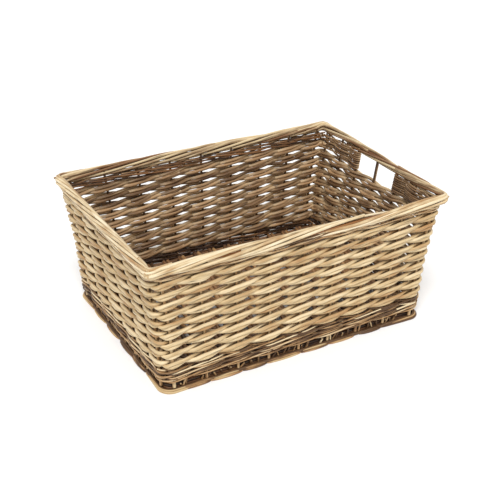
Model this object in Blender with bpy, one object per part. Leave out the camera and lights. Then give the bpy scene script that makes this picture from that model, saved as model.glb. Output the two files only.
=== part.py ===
"""Open rectangular willow basket, in metres, with +Z up.

The long side runs along X and the handle hole is in the +X end. The origin is on the floor
under the middle of the base. Upright stakes stand round a woven base. On each wall a pair
of weavers is twined round the stakes in rows: at each stake one weaver of the pair passes
outside and the other inside, and they cross over each other in the bay between two stakes.
At a corner stake, and at a stake beside the handle hole, a weaver turns back round the
stake. Thinner rods are twined the same way below and above these rows, laid rods make the
border round the rim, and a flat rod under the stakes makes the foot.
"""

import math
from collections import namedtuple

import bmesh
import bpy
from mathutils import Vector

# Overall size. The rim is measured over the border, the base over the lowest weavers.
RIM_LENGTH = 0.500
RIM_WIDTH = 0.348
BASE_LENGTH = 0.451
BASE_WIDTH = 0.325
HEIGHT = 0.215
RIM_OVERHANG = 0.004

# Heights of the bands, from the floor up. The twined rows share what is left between them.
FOOT_HEIGHT = 0.006
UPSETT_HEIGHT = 0.0176
TOP_WALE_HEIGHT = 0.0088
BORDER_HEIGHT = 0.019

# Rods. A weaver here is a bundle of thin rods that run side by side, so it is taller in
# its row than it is thick. Only the thickness is a size: the height follows from the row.
STAKE = 0.006
WEAVER = 0.005
WALE_ROD = 0.004
BORDER_WIDTH = 0.017
FOOT_WIDTH = 0.012
FOOT_SWING = 0.0015
BASE_STICK = 0.006
BASE_WEAVER = 0.0036
GAP = 0.0003

# Plan of the corners: how far the two corner stakes stand back from the sharp corner.
CORNER_CUT = 0.0137
CORNER_TURN = math.radians(22.5)

# Counts.
ROW_COUNT = 9
UPSETT_ROW_COUNT = 2
LONG_BAY_COUNT = 8
BASE_STICK_COUNT = 6
BASE_PASS_COUNT = 30
STAKE_SIDE_COUNT = 6
BORDER_LOBE_COUNT = 5

# A bar of the base is two rods side by side, and light shows between one bar and the next.
BASE_BAR_SHARE = 0.68
# A groove between two rods of the border, as a share of the way out to their ridges.
BORDER_GROOVE_SHARE = 0.8

# Stakes of a short end, as shares of the way from its middle to its corner stake. The two
# middle bays are wider, because the handle hole takes them.
SHORT_END_SHARES = (-1.0, -0.68, -0.36, 0.0, 0.36, 0.68, 1.0)
HOLE_SIDE = "right"
# The hole lies between two stakes of its end, each counted from the end's first corner.
HOLE_NEAR_COUNT = 2
HOLE_FAR_COUNT = 4

# The wall leans out little up to its knee and more above it.
KNEE_HEIGHT_SHARE = 0.5
KNEE_FLARE_SHARE = 0.3

STRAW = (0.56, 0.44, 0.26)
CREAM = (0.66, 0.56, 0.37)
BARK = (0.27, 0.15, 0.08)
TAN = (0.50, 0.31, 0.14)
UMBER = (0.24, 0.15, 0.09)
# How rough the rods are, peeled and with their bark on.
PEELED = 0.48
UNPEELED = 0.56

# Levels that follow from the sizes above.
STAKE_FOOT = FOOT_HEIGHT + GAP
STAKE_TOP = HEIGHT - BORDER_HEIGHT - GAP

BASKET = "basket"
SMOOTH_ANGLE = math.radians(50)
SIDES = ("front", "right", "back", "left")
UP = Vector((0, 0, 1))
BASE_ALONG = Vector((1, 0, 0))
ALONG = {
    "front": Vector((1, 0, 0)),
    "right": Vector((0, 1, 0)),
    "back": Vector((-1, 0, 0)),
    "left": Vector((0, -1, 0)),
}

# A row of twining: its middle height, the height it takes and its weavers' thickness.
Row = namedtuple("Row", "level pitch thickness")


def clear_scene():
    for old in list(bpy.data.objects):
        bpy.data.objects.remove(old, do_unlink=True)


def willow(name, colour, roughness):
    material = bpy.data.materials.new(name)
    material.use_nodes = True
    shader = material.node_tree.nodes["Principled BSDF"]
    shader.inputs["Base Color"].default_value = (*colour, 1)
    shader.inputs["Roughness"].default_value = roughness
    shader.inputs["Metallic"].default_value = 0
    return material


def outward(side):
    """Unit vector out of a wall, with the walls taken anticlockwise seen from above."""
    return ALONG[side].cross(UP)


def is_short(side):
    return abs(ALONG[side].y) > 0


def stake_shares(side):
    if is_short(side):
        return SHORT_END_SHARES
    return [2 * bay / LONG_BAY_COUNT - 1 for bay in range(LONG_BAY_COUNT + 1)]


def last_stake(side):
    return len(stake_shares(side)) - 1


def first_of_all(side):
    """Number of a wall's first stake, counted round the whole basket."""
    return sum(len(stake_shares(other)) for other in SIDES[: SIDES.index(side)])


def lean(z):
    """Share of the wall's flare that is reached at height z."""
    rise = (z - STAKE_FOOT) / (STAKE_TOP - STAKE_FOOT)
    if rise < KNEE_HEIGHT_SHARE:
        return KNEE_FLARE_SHARE * rise / KNEE_HEIGHT_SHARE
    above = (rise - KNEE_HEIGHT_SHARE) / (1 - KNEE_HEIGHT_SHARE)
    return KNEE_FLARE_SHARE + (1 - KNEE_FLARE_SHARE) * above


def half_size(z):
    """Half the length and half the width of the stakes' line at height z."""
    reach = STAKE / 2 + GAP + WEAVER
    foot = Vector((BASE_LENGTH / 2 - reach, BASE_WIDTH / 2 - reach))
    inset = RIM_OVERHANG + reach
    top = Vector((RIM_LENGTH / 2 - inset, RIM_WIDTH / 2 - inset))
    return foot.lerp(top, lean(z))


def stake_point(side, number, z):
    """Point of the stakes' line at a stake, or at the middle of a bay (half numbers)."""
    shares = stake_shares(side)
    share = (shares[math.floor(number)] + shares[math.ceil(number)]) / 2
    size = half_size(z)
    half, away = (size.y, size.x) if is_short(side) else (size.x, size.y)
    return outward(side) * away + ALONG[side] * share * (half - CORNER_CUT) + UP * z


def clear_reach(way, neighbour, need):
    """Distance out along `way` at which a straight run to `neighbour` keeps `need` clear
    of the start. It solves |reach * way x neighbour| = need * length of the run."""
    across = way.cross(neighbour).length_squared - need**2
    level = need**2 * way.dot(neighbour)
    root = math.sqrt(level**2 + across * need**2 * neighbour.length_squared)
    return (root - level) / across


def need_for(thickness):
    """Least distance from a stake's axis to the line of a weaver that passes it."""
    return STAKE / 2 + thickness / 2 + GAP


def pass_point(side, number, sign, row):
    """Where a weaver passes a stake, outside it (sign 1) or inside it (sign -1)."""
    stake = stake_point(side, number, row.level)
    way = outward(side) * sign
    need = need_for(row.thickness)
    middles = [stake_point(side, number + step, row.level) for step in (-0.5, 0.5)]
    return stake + way * max(clear_reach(way, middle - stake, need) for middle in middles)


def turn_point(side, number, end, sign, row, turn):
    """Bend of a weaver that turns back round a stake. The straight run from the bay beside
    it and the run across the end both keep clear of the stake. `turn` is the angle from
    the wall's outward way to the way in which the run across the end lies."""
    stake = stake_point(side, number, row.level)
    way = ALONG[side] * end
    need = need_for(row.thickness)
    bay = (stake_point(side, number - end / 2, row.level) - stake).length
    slant = math.asin(need / bay)
    run = way * math.cos(slant) + outward(side) * sign * math.sin(slant)
    across = way * math.sin(turn) + outward(side) * math.cos(turn)
    start = way * -bay
    return stake + start + run * (need - start.dot(across)) / run.dot(across)


def turn_of(side, number):
    """The turn is sharper at a corner, where two walls' weavers meet inside."""
    at_corner = number in (0, last_stake(side))
    return math.pi / 2 + (CORNER_TURN if at_corner else 0)


def weaver_points(side, first, last, strand, row):
    """Line of one weaver of a pair from stake `first` to stake `last` of a wall. Each
    outer stroke climbs along the wall, so the weaver that goes in crosses on top."""
    points = []
    for number in range(first, last + 1):
        sign = 1 if (first_of_all(side) + number + strand) % 2 == 0 else -1
        end = (number == last) - (number == first)
        if end:
            turn = turn_of(side, number)
            points.append(turn_point(side, number, end, sign, row, turn))
        else:
            points.append(pass_point(side, number, sign, row))
        if number < last:
            rise = sign * row.pitch / 4
            middle = stake_point(side, number + 0.5, row.level)
            points.append(middle + UP * rise)
    return points


def diamond(point, across, thickness, upright, height):
    """Section of a rod with its points in the ways of `across` and `upright`."""
    return [
        point + across * thickness / 2,
        point + upright * height / 2,
        point - across * thickness / 2,
        point - upright * height / 2,
    ]


def across_line(points, upright):
    """Way across a line at each of its points, square to `upright`."""
    found = []
    for index in range(len(points)):
        ways = []
        if index > 0:
            ways.append(points[index] - points[index - 1])
        if index < len(points) - 1:
            ways.append(points[index + 1] - points[index])
        flat = [(way - upright * way.dot(upright)).normalized() for way in ways]
        found.append(sum(flat, Vector()).normalized().cross(upright))
    return found


def loft(bm, sections):
    """Extrudes a face from section to section into one closed body."""
    face = bm.faces.new([bm.verts.new(point) for point in sections[0]])
    for index, section in enumerate(sections[1:]):
        if index == 0:
            grown = bmesh.ops.extrude_face_region(bm, geom=[face])["geom"]
            face = next(item for item in grown if isinstance(item, bmesh.types.BMFace))
        else:
            face = bmesh.ops.extrude_discrete_faces(bm, faces=[face])["faces"][0]
        for vertex, point in zip(face.verts, section):
            vertex.co = point


def add_lofted(name, sections, material):
    """A rod as an object whose origin is the middle of the end where its loft starts."""
    origin = sum(sections[0], Vector()) / len(sections[0])
    bm = bmesh.new()
    loft(bm, [[point - origin for point in section] for section in sections])
    bmesh.ops.recalc_face_normals(bm, faces=bm.faces)
    mesh = bpy.data.meshes.new(name)
    bm.to_mesh(mesh)
    bm.free()
    mesh.materials.append(material)
    mesh.shade_smooth()
    mesh.set_sharp_from_angle(angle=SMOOTH_ANGLE)
    item = bpy.data.objects.new(name, mesh)
    item.location = origin
    item.parent = bpy.data.objects[BASKET]
    bpy.context.collection.objects.link(item)


def twined(name, side, first, last, rows, material):
    """One wall's rows as one folded weaver: out along the wall, round the last stake, back
    as the other weaver of the pair, round the first stake and up into the next row."""
    sections = []
    points = []
    heights = []
    thicknesses = []
    for row in rows:
        going = weaver_points(side, first, last, 0, row)
        coming = weaver_points(side, first, last, 1, row)
        points += going + coming[::-1]
        heights += [row.pitch / 2 - GAP] * 2 * len(going)
        thicknesses += [row.thickness] * 2 * len(going)
    ways = across_line(points, UP)
    for point, way, thickness, height in zip(points, ways, thicknesses, heights):
        sections.append(diamond(point, way, thickness, UP, height))
    add_lofted(name, sections, material)


def rows_in(bottom, top, count, thickness):
    pitch = (top - bottom) / count
    levels = [bottom + pitch * (row + 0.5) for row in range(count)]
    return [Row(level, pitch, thickness) for level in levels]


def base_lift():
    """Height of a base weaver's line over the sticks' line where it passes a stick."""
    return clear_reach(UP, Vector((0, stick_spacing(), 0)), base_need())


def base_need():
    return BASE_STICK / 2 + GAP + BASE_WEAVER / 2


def base_edge():
    """Distance of the base weavers' turns from the middle line, beside the stakes."""
    return half_size(STAKE_FOOT).y - STAKE / 2 - GAP - BASE_WEAVER / 2


def stick_spacing():
    return 2 * (base_edge() - base_need()) / (BASE_STICK_COUNT - 1)


def stick_place(number):
    """Distance of a base stick from the middle line, across the base."""
    return (number - (BASE_STICK_COUNT - 1) / 2) * stick_spacing()


def base_thickness():
    return 2 * base_lift() + BASE_WEAVER


def base_level():
    return STAKE_FOOT + base_thickness() / 2


def upsett_bottom():
    return STAKE_FOOT + base_thickness() + GAP


def siding_bottom():
    return upsett_bottom() + UPSETT_HEIGHT + GAP


def siding_top():
    return STAKE_TOP - GAP - TOP_WALE_HEIGHT


def walls(straw, bark):
    """Twined rows of each wall. The top row and the rods over it leave the two middle bays
    of one end open as a handle hole."""
    upsett = rows_in(
        upsett_bottom(), upsett_bottom() + UPSETT_HEIGHT, UPSETT_ROW_COUNT, WALE_ROD
    )
    siding = rows_in(siding_bottom(), siding_top() - GAP, ROW_COUNT, WEAVER)
    top = rows_in(siding_top(), siding_top() + TOP_WALE_HEIGHT, 1, WALE_ROD)
    for side in SIDES:
        last = last_stake(side)
        twined(f"{side}_upsett", side, 0, last, upsett, bark)
        if side == HOLE_SIDE:
            twined(f"{side}_siding", side, 0, last, siding[:-1], straw)
            over = siding[-1:] + top
            twined("hole_front_siding", side, 0, HOLE_NEAR_COUNT, over, straw)
            twined("hole_back_siding", side, HOLE_FAR_COUNT, last, over, straw)
        else:
            twined(f"{side}_siding", side, 0, last, siding, straw)
            twined(f"{side}_top_wale", side, 0, last, top, bark)


def ring_section(centre, across, upright, sides, size):
    """Round section of a rod, as a polygon inside its circle."""
    ring = []
    for corner in range(sides):
        turn = 2 * math.pi * corner / sides
        ring.append(centre + (across * math.cos(turn) + upright * math.sin(turn)) * size / 2)
    return ring


def stake(name, side, number, material):
    """A stake from the foot to the border, bent at the knee of the wall."""
    knee = STAKE_FOOT + (STAKE_TOP - STAKE_FOOT) * KNEE_HEIGHT_SHARE
    sections = []
    for z in (STAKE_FOOT, knee, STAKE_TOP):
        centre = stake_point(side, number, z)
        sections.append(ring_section(centre, outward(side), ALONG[side], STAKE_SIDE_COUNT, STAKE))
    add_lofted(name, sections, material)


def stakes(material):
    """Stakes of each wall, and two at each corner, one for each wall that meets there."""
    for side in SIDES:
        last = last_stake(side)
        for number in range(1, last):
            stake(f"{side}_stake_{number}", side, number, material)
        stake(f"{side}_corner_stake_1", side, 0, material)
        stake(f"{side}_corner_stake_2", side, last, material)


def ring_line(side, half_length, half_width, z):
    """Stations of a ring that is laid round on the stakes, along one wall and round half
    of each corner: each is a point, the way out of the ring and the mitre there."""
    half, away = (half_width, half_length) if is_short(side) else (half_length, half_width)
    last = last_stake(side)
    stations = []
    for end in (-1, 1):
        corner = stake_point(side, last if end > 0 else 0, z)
        cut = half - corner.dot(ALONG[side]) * end
        out = (outward(side) + ALONG[side] * end).normalized()
        point = outward(side) * away + ALONG[side] * end * half + UP * z
        point -= out * cut / (2 * math.sqrt(2))
        tangent = (ALONG[side] - outward(side) * end).normalized()
        stations.append((point - tangent * end * GAP / 2, out, 1))
    middle = []
    for number in range(last + 1):
        end = (number == last) - (number == 0)
        turn = CORNER_TURN * abs(end)
        out = outward(side) * math.cos(turn) + ALONG[side] * end * math.sin(turn)
        along = stake_point(side, number, z).dot(ALONG[side])
        point = outward(side) * away + ALONG[side] * along + UP * z
        middle.append((point, out, 1 / math.cos(turn)))
    return [stations[0]] + middle + [stations[1]]


def border(material):
    """Laid rods, close together. Their ridges climb the outer face from left to right, by
    half a lobe from stake to stake, go over the top and come down the inner face."""
    level = HEIGHT - BORDER_HEIGHT / 2
    length = RIM_LENGTH / 2 - BORDER_WIDTH / 2
    width = RIM_WIDTH / 2 - BORDER_WIDTH / 2
    points = 2 * BORDER_LOBE_COUNT
    for side in SIDES:
        last = last_stake(side)
        numbers = [-0.5, *range(last + 1), last + 0.5]
        sections = []
        for number, station in zip(numbers, ring_line(side, length, width, level)):
            centre, out, mitre = station
            section = []
            for index in range(points):
                turn = math.pi / BORDER_LOBE_COUNT * (index + first_of_all(side) + number)
                reach = BORDER_GROOVE_SHARE if index % 2 else 1
                across = out * math.cos(turn) * BORDER_WIDTH / 2 * mitre
                upright = UP * math.sin(turn) * BORDER_HEIGHT / 2
                section.append(centre + (across + upright) * reach)
            sections.append(section)
        add_lofted(f"{side}_border", sections, material)


def foot(material):
    """A flat rod laid round under the stakes, which swings out and in from stake to stake."""
    size = half_size(STAKE_FOOT)
    for side in SIDES:
        last = last_stake(side)
        swings = [0] + [1 if number % 2 else -1 for number in range(last + 1)] + [0]
        swings[1] = swings[-2] = 0
        sections = []
        for swing, station in zip(swings, ring_line(side, size.x, size.y, 0)):
            point, out, mitre = station
            centre = point + out * swing * FOOT_SWING
            across = out * FOOT_WIDTH / 2 * mitre
            up = UP * FOOT_HEIGHT
            sections.append(
                [
                    centre + across,
                    centre + across + up / 2,
                    centre + across / 2 + up,
                    centre - across / 2 + up,
                    centre - across + up / 2,
                    centre - across,
                ]
            )
        add_lofted(f"{side}_foot", sections, material)


def base_sticks(material):
    """Sticks that run the length of the base, between the stakes of the two ends."""
    half = half_size(STAKE_FOOT).x - STAKE / 2 - GAP
    across = BASE_ALONG.cross(UP)
    for index in range(BASE_STICK_COUNT):
        middle = -across * stick_place(index) + UP * base_level()
        sections = [
            ring_section(middle + BASE_ALONG * x, across, UP, STAKE_SIDE_COUNT, BASE_STICK)
            for x in (-half, half)
        ]
        add_lofted(f"base_stick_{index + 1}", sections, material)


def base_weave(material):
    """One weaver that goes to and fro across the base, over and under the sticks, and
    turns back round the outer stick at the end of each pass."""
    half = half_size(STAKE_FOOT).x - STAKE / 2 - GAP
    pitch = 2 * half / BASE_PASS_COUNT
    places = [stick_place(stick) for stick in range(BASE_STICK_COUNT)]
    points = []
    for index in range(BASE_PASS_COUNT):
        line = []
        for stick, y in enumerate(places):
            over = 1 if (stick + index) % 2 else -1
            line.append(Vector((0, y, over * base_lift())))
        ends = [line[0].copy(), line[-1].copy()]
        ends[0].y = -base_edge()
        ends[1].y = base_edge()
        line = [ends[0]] + line + [ends[1]]
        if index % 2:
            line.reverse()
        shift = Vector(((index + 0.5) * pitch - half, 0, base_level()))
        points += [point + shift for point in line]
    ways = across_line(points, BASE_ALONG)
    sections = [
        diamond(point, way, BASE_WEAVER, BASE_ALONG, pitch * BASE_BAR_SHARE)
        for point, way in zip(points, ways)
    ]
    add_lofted("base_weaver", sections, material)


def build():
    clear_scene()
    bpy.context.collection.objects.link(bpy.data.objects.new(BASKET, None))
    straw = willow("straw willow", STRAW, PEELED)
    cream = willow("cream willow", CREAM, PEELED)
    bark = willow("brown willow", BARK, UNPEELED)
    tan = willow("tan willow", TAN, PEELED)
    umber = willow("dark willow", UMBER, UNPEELED)
    foot(tan)
    base_sticks(umber)
    base_weave(umber)
    stakes(bark)
    walls(straw, bark)
    border(cream)


build()
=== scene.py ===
import math
from collections import namedtuple

import bmesh
import bpy
import numpy as np
from mathutils import Matrix, Vector


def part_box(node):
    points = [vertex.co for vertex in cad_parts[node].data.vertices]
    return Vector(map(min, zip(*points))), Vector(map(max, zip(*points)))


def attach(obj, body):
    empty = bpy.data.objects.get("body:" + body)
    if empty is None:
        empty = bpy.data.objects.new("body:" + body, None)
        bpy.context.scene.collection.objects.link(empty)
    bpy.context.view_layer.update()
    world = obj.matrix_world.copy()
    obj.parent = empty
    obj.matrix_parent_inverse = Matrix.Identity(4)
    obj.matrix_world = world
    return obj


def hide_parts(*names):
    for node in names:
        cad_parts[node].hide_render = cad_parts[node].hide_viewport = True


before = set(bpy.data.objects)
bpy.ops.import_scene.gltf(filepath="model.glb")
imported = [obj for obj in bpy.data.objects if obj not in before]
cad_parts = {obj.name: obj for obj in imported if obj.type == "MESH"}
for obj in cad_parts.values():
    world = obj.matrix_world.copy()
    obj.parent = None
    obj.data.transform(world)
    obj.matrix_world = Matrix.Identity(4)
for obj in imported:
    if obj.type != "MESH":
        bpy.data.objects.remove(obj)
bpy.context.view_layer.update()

bl_info = {
    "name": "Willow hamper",
    "version": (1, 0, 0),
    "blender": (4, 5, 0),
    "location": "View3D > Sidebar > Hamper",
    "description": "Willow rods for an open rectangular hamper, woven round its packed solids",
    "category": "Add Mesh",
}

# Places along a wall are counted in stakes, anticlockwise seen from above, from the front
# wall's first corner stake. Half a count is the middle of the bay between two stakes.
SIDES = ("front", "right", "back", "left")
WAYS = {
    "front": (1, 0, 0),
    "right": (0, 1, 0),
    "back": (-1, 0, 0),
    "left": (0, -1, 0),
}
STAKES_ON = {"front": 7, "right": 5, "back": 7, "left": 5}
WALL_MIDDLES = (4, 12, 20, 28)
UP = np.array((0.0, 0.0, 1.0))

# The stakes on both sides of the handle hole, and the corner stakes where the top row and
# the top wale stop on that wall.
HOLE = (11, 13)
BUNDLE_ENDS = (9, 15)

ROWS = 9
UPSETT_ROUNDS = 3
BASE_BARS = 30

# Points of a line: in each bay, in a half turn round a stake, or in the whole of a rod.
STRAND_STEPS = 10
WALE_STEPS = 8
BORDER_STEPS = 8
TURN_STEPS = 9
STAKE_STEPS = 24
STICK_STEPS = 40
BAR_STEPS = 44
BUNDLE_STEPS = 22

# A swept rod's skin has rings of RING_SIDES points. Edges sharper than SHARP stay sharp.
RING_SIDES = 8
RING_RESOLUTION = 2
CAP_FACES = 12
SHARP = math.radians(50)
MERGE = 1e-7

# Gap between a rod and what it lies against.
CLEAR = 0.0001

# Distance from the stakes' line at which a rod counts as wholly outside or inside. A rod
# on neither side is given one that it never reaches.
SIDING_SIDE = 0.0055
ROD_SIDE = 0.006
NO_SIDE = 1.0

# How much a rod's side of the wall adds to the way that its skin faces. Faces turned into
# the basket take the darker inner colours: partly weathering, partly painted shade.
SIDE_SHARE = 0.2

# Siding: how square a strand's swing is, how its climb bends, the least and most bays that
# a rod runs, how far it runs on past them, and the rise of its butt and tip in half rods.
STROKE_SQUARENESS = 0.9
STROKE_BEND = 0.4
ROD_BAYS = (6, 12)
ROD_OVERLAP = 0.25
END_RISES = (0.8, -0.8)

# Wales: the least bays that a rod runs, one more than the most, the shortest last one, how
# much later each of the three rods starts, and the rise of a stroke in rods.
WALE_RUN = (9, 16, 4)
WALE_LAG = 0.4
WALE_CLIMB = 0.9

# Upsett: where its rounds start, the rise of a round and the bays over which it rises. Its
# wales have a side of the stakes, a lift and a tone. The inner wale's low tone is painted
# shade in the gaps between the outer rods.
UPSETT_START = 18
UPSETT_RISE = 0.0071
UPSETT_STEP = 6
UPSETT_WALES = ((1, 0.0, 0.25), (-1, UPSETT_RISE / 3, -0.3))

# Top wale: its lift over the solids' middle and its pitch. Its wales have a height in
# pitches and a side of the stakes.
TOP_WALE_LIFT = 0.0012
TOP_WALE_PITCH = 0.0046
TOP_WALES = ((-0.5, 1), (0.5, 1), (-0.9, -1), (0.1, -1))
TOP_WALE_TONE = 0.5

# Thickness of the foot of a corner stake, of the top of the stake in the handle hole and
# of the other stakes' tops, in parts of a plain stake's foot.
CORNER_STAKE = 1.25
HOLE_STAKE = 1.15
STAKE_TIP = 0.88

# How far the stakes and the bundles beside the handle hole run up into the border.
STAKE_TAIL = 0.0085
BUNDLE_TAIL = 0.0045

# Bundles: their pitch in rods, the least and most bays that a rod runs back over, and how
# far and over how many bays the outer rods draw in.
BUNDLE_PITCH = 1.08
BUNDLE_BAYS = (1.7, 2.2)
BUNDLE_DRAW = 0.004
BUNDLE_DRAW_BAYS = 1.4

# Cut ends of the base's bars: how many show in a bay, and the limits of their places in
# it, their tops, the distances of their tips, and their thickness in wale rods.
ENDS_IN_BAY = 5
END_STEPS = 4
END_PLACES = (0.08, 0.92)
END_BOTTOM = 0.0045
END_TOPS = (0.010, 0.0205)
END_TIPS = (0.0005, 0.0025)
END_SIZES = (0.75, 1.15)

# Lanes that run round the foot and the edge of the base: where each starts, how far out and
# how high it lies in rods, its tone. The edge lanes are dark rods laid inside the stakes, which
# fill the gap over the foot with painted shade and block the floor behind it.
FOOT_LANE = (7, 0.25, 0, 0.0)
EDGE_LANES = (
    (4, -0.75, 0, 0.3),
    (6, -0.8, 0.8, 0.1),
    (9, -1.0, 1.6, 0.4),
    (2, -0.9, 2.3, 0.5),
    (5, -0.9, 3.2, 0.2),
)
LANE_RUN = (5, 9, 4)

# The two rods of the foot that bulge under each bay: how far out and how high they lie in
# rods, and their thickness in rods.
FOOT_STROKES = ((0.38, 0, 0.62), (0.12, 0.46, 0.56))

# Base: its lift over the sticks' solids, and its crown with the width of the edge on which
# the crown rises.
BASE_LIFT = 0.0048
BASE_CROWN = 0.0085
CROWN_EDGE = 0.010

# Border: lanes round its core, lane widths that they shift in one round of the basket, and
# how deep it is and how far it sags in the middle of each wall.
BORDER_LANES = 8
BORDER_TURNS = 34
BORDER_DEPTHS = (1.12, 0.88, 1.02, 1.02)
BORDER_SAGS = (0.0022, 0.0004, 0.0004, 0.0008)
BORDER_RUN = (3, 7, 3)
CORNER_BULGE = 0.0055
CORE_RADIUS = 0.0026
CORE_TONE = -0.4
CORE_BAYS = 8

# Bays by which each lane starts after the last one, and by which a rod's butt and tip run
# on past its place.
LANE_SHIFT = 2.7
BUTT_BAYS = 0.9
TIP_BAYS = 0.3

# Butts that stick out of the border beside each corner stake: how many, how far they keep
# from its bottom and top, and the limits of their places, their distances from the stakes'
# line, their thickness in border rods, their reach in parts of the room, and their droop.
STRAY_BUTTS = 3
STRAY_STEPS = 6
STRAY_MARGIN = 0.004
STRAY_PLACES = (0.35, 0.6)
STRAY_OFFS = (0.0035, 0.0075)
STRAY_SIZES = (0.6, 0.85)
STRAY_REACH = (0.86, 1)
STRAY_DROOP = (-0.002, 0.0015)

# Middle of the rods' tones, from 0 for the dark colour of their finish to 1 for the pale
# one, and how far they spread.
TONES = {
    "siding": (0.58, 0.2),
    "hole turns": (0.5, 0.1),
    "stakes": (0.5, 0.12),
    "corner stakes": (0.75, 0.12),
    "bundles": (0.55, 0.2),
    "border": (0.57, 0.26),
    "stray ends": (0.35, 0.25),
    "foot": (0.3, 0.4),
    "foot corners": (0.6, 0.4),
    "bar ends": (0.15, 0.35),
    "sticks": (0.5, 0.12),
    "bars": (0.5, 0.16),
}
WALE_SPREAD = 0.45
LANE_SPREAD = 0.16

# Unevenness: its size, and how many waves of it go round the basket.
WAVES = {
    "siding": (0.00035, (7, 13, 17)),
    "siding swell": (0.04, (11, 19)),
    "rows": (0.0008, (2, 3, 5)),
    "one row": (0.00045, (4, 6, 11)),
    "wales": (0.0011, (3, 7, 11)),
    "stakes": (0.0002, (1, 2)),
    "bundles": (0.0009, (13, 21, 31)),
    "border turn": (0.16, (5, 9)),
    "foot": (0.0004, (9, 15)),
    "lanes": (0.0005, (5, 9)),
}

# Places that a metre of a stake's height counts as, for its unevenness.
STAKE_WAVES = 160

# Thickness of a rod's butt and tip, in parts of the middle's.
TAPERS = {
    "siding": (1.05, 0.94),
    "wales": (1.0, 0.72),
    "bundles": (1.08, 0.8),
    "border": (1.08, 0.82),
    "lanes": (1.0, 0.85),
    "bars": (1.03, 0.92),
}

SEEDS = {
    "stakes": 3,
    "upsett": 11,
    "top wale": 12,
    "bundles": 20,
    "border": 30,
    "foot": 31,
    "siding": 40,
    "base": 50,
    "rows": 71,
    "one row": 300,
}

# Patterns of the willow: repeats in a metre along the rod and across it.
PATCHES = (34, 110, 110)
STREAKS = (26, 620, 620)
GRAIN = (190, 2400, 2400)
DRIFT = (9, 20, 20)
KNOTS = (13, 190, 190)
END_GRAIN = (1500, 1500, 1500)

KEY_SOFTNESS = math.radians(28)
KEY_TILT = (math.radians(28), math.radians(-19), 0)

Rod = namedtuple("Rod", "points radii outs place tone start")
Finish = namedtuple("Finish", "name dark mid pale inner_dark inner_pale rough")

# Finish of each material slot: the colours of its rods' outer and inner faces. The darker
# inner colours are partly weathering and partly painted shade. The upsett and the foot take
# the shade colour for their darkest tone, painted shade in their gaps.
FINISHES = {
    "siding": Finish("siding_willow", "tan", "straw", "cream", "shade", "silver", 0.46),
    "border": Finish(
        "border_willow", "tan", "pale_straw", "white_willow", "bark", "pale_straw", 0.46
    ),
    "upsett": Finish("upsett_willow", "shade", "tan", "cream", "umber", "hazel", 0.46),
    "stakes": Finish("stake_willow", "bark", "tan", "pale_straw", "umber", "shade", 0.55),
    "foot": Finish("foot_willow", "shade", "tan", "straw", "umber", "bark", 0.5),
    "base": Finish("base_willow", "umber", "bark", "tan", "umber", "hazel", 0.46),
}


# Plan of the basket, read from the solids.


def stake_nodes(side):
    """Names of a wall's stakes in order, with its two corner stakes."""
    middle = [f"{side}_stake_{number + 1}" for number in range(STAKES_ON[side])]
    return [f"{side}_corner_stake_1", *middle, f"{side}_corner_stake_2"]


def stake_axis(node):
    """Middles of the lowest, middle and highest third of a stake's solid."""
    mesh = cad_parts[node].data
    found = np.empty(len(mesh.vertices) * 3, np.float32)
    mesh.vertices.foreach_get("co", found)
    found = np.unique(found.reshape(-1, 3).round(5), axis=0).astype(float)
    low, high = found[:, 2].min(), found[:, 2].max()
    third = (high - low) / 3
    parts = (
        found[:, 2] < low + third,
        (found[:, 2] >= low + third) & (found[:, 2] <= high - third),
        found[:, 2] > high - third,
    )
    return [found[part].mean(axis=0) for part in parts]


AXES = np.array([stake_axis(node) for side in SIDES for node in stake_nodes(side)])
ALONG = np.array([WAYS[side] for side in SIDES for _ in stake_nodes(side)], float)
OUT = np.cross(ALONG, UP)
COUNT = len(AXES)
CORNERS = [index for index in range(COUNT) if ALONG[index] @ ALONG[(index + 1) % COUNT] < 0.5]
FOOT, KNEE, TOP = AXES[0][:, 2]


def stake_points(numbers, z):
    """Middles of the numbered stakes at heights z."""
    low = (z < KNEE)[:, None]
    start = np.where(low, AXES[numbers, 0], AXES[numbers, 1])
    end = np.where(low, AXES[numbers, 1], AXES[numbers, 2])
    return start + (end - start) * ((z[:, None] - start[:, 2:]) / (end - start)[:, 2:])


def wall(s, z):
    """Points of the stakes' line at places s and heights z, and the ways out of it. The
    line turns round each corner between its two stakes."""
    before = np.floor(s).astype(int) % COUNT
    share = (s - np.floor(s))[:, None]
    start, end = stake_points(before, z), stake_points((before + 1) % COUNT, z)
    out, along = OUT[before], ALONG[before]
    straight = start + (end - start) * share
    radius = ((end - start) * along).sum(axis=1)[:, None]
    way = out * np.cos(share * math.pi / 2) + along * np.sin(share * math.pi / 2)
    turned = start + (way - out) * radius
    corner = np.isin(before, CORNERS)[:, None]
    return np.where(corner, turned, straight), np.where(corner, way, out)


def bay_length(number):
    """Length of the bay after a stake, at the height of the stakes' knees."""
    ends = np.array([number % COUNT, (number + 1) % COUNT])
    points = stake_points(ends, np.array([KNEE, KNEE]))
    return float(np.linalg.norm(points[1] - points[0]))


def waves(s, rng, size, counts):
    """Slow unevenness along the weave that joins up round the basket."""
    total = np.zeros_like(s)
    for count in counts:
        total += rng.uniform(-1, 1) * np.sin(2 * math.pi * (count * s / COUNT + rng.random()))
    return total * size / math.sqrt(len(counts))


def smooth(share):
    """Eases a share between 0 and 1."""
    share = np.clip(share, 0, 1)
    return share * share * (3 - 2 * share)


# Rods: their lines, their skins, and what the skins store for the willow.


def rod(s, off, z, radii, side, tone, rng, level=None):
    """A rod through places s, at distances off from the stakes' line and heights z. With a
    level, the stakes' line is the one at that height. `side` is the distance at which it
    counts as wholly outside."""
    line, out = wall(s, z if level is None else np.full_like(s, level))
    points = line + out * off[:, None]
    points[:, 2] = z
    return Rod(points, radii, out, np.clip(off / side, -1, 1), tone, rng.uniform(0, 9))


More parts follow.
